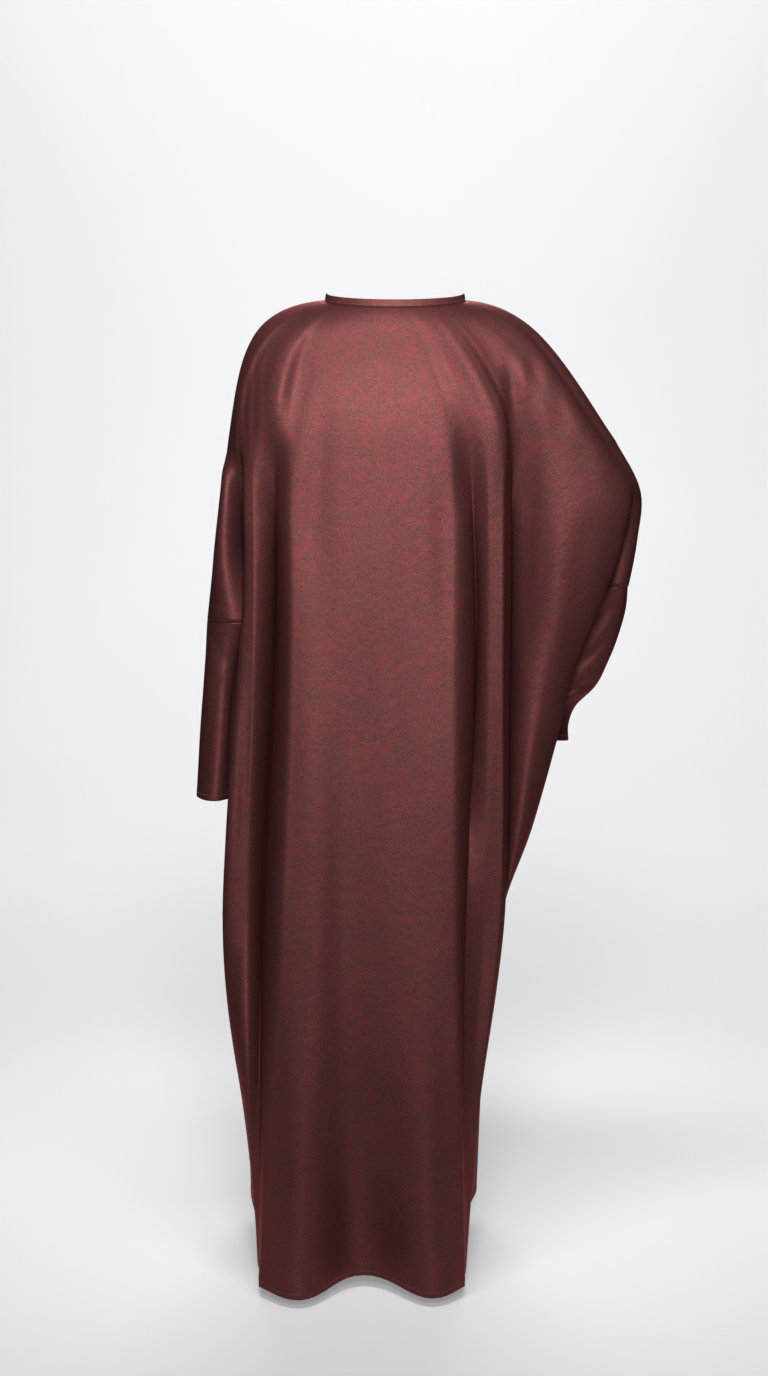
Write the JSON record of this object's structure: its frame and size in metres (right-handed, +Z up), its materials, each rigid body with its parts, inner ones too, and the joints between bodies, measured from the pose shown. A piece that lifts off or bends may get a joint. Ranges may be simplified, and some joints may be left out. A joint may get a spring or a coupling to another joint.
{
  "type": "abaya",
  "caption": "Loose full-length satin abaya with a small spotted print, batwing arms, sleeves sewn on at the elbow and a narrow neckband, held in the hollow form of a standing figure",
  "frame": {"origin": "in the middle of the neck opening, at the level of the side neck points that rest on the shoulders", "axes": "+Z up; the wearer faces -Y; +X is the wearer's left"},
  "size_m": [0.6505, 0.4499, 1.4261],
  "materials": {
    "satin": "printed satin with a soft sheen"
  },
  "bodies": {
    "root": {"back": "satin", "front": "satin", "sleeve_left": "satin", "sleeve_right": "satin", "neckband": "satin"}
  },
  "joints": []
}
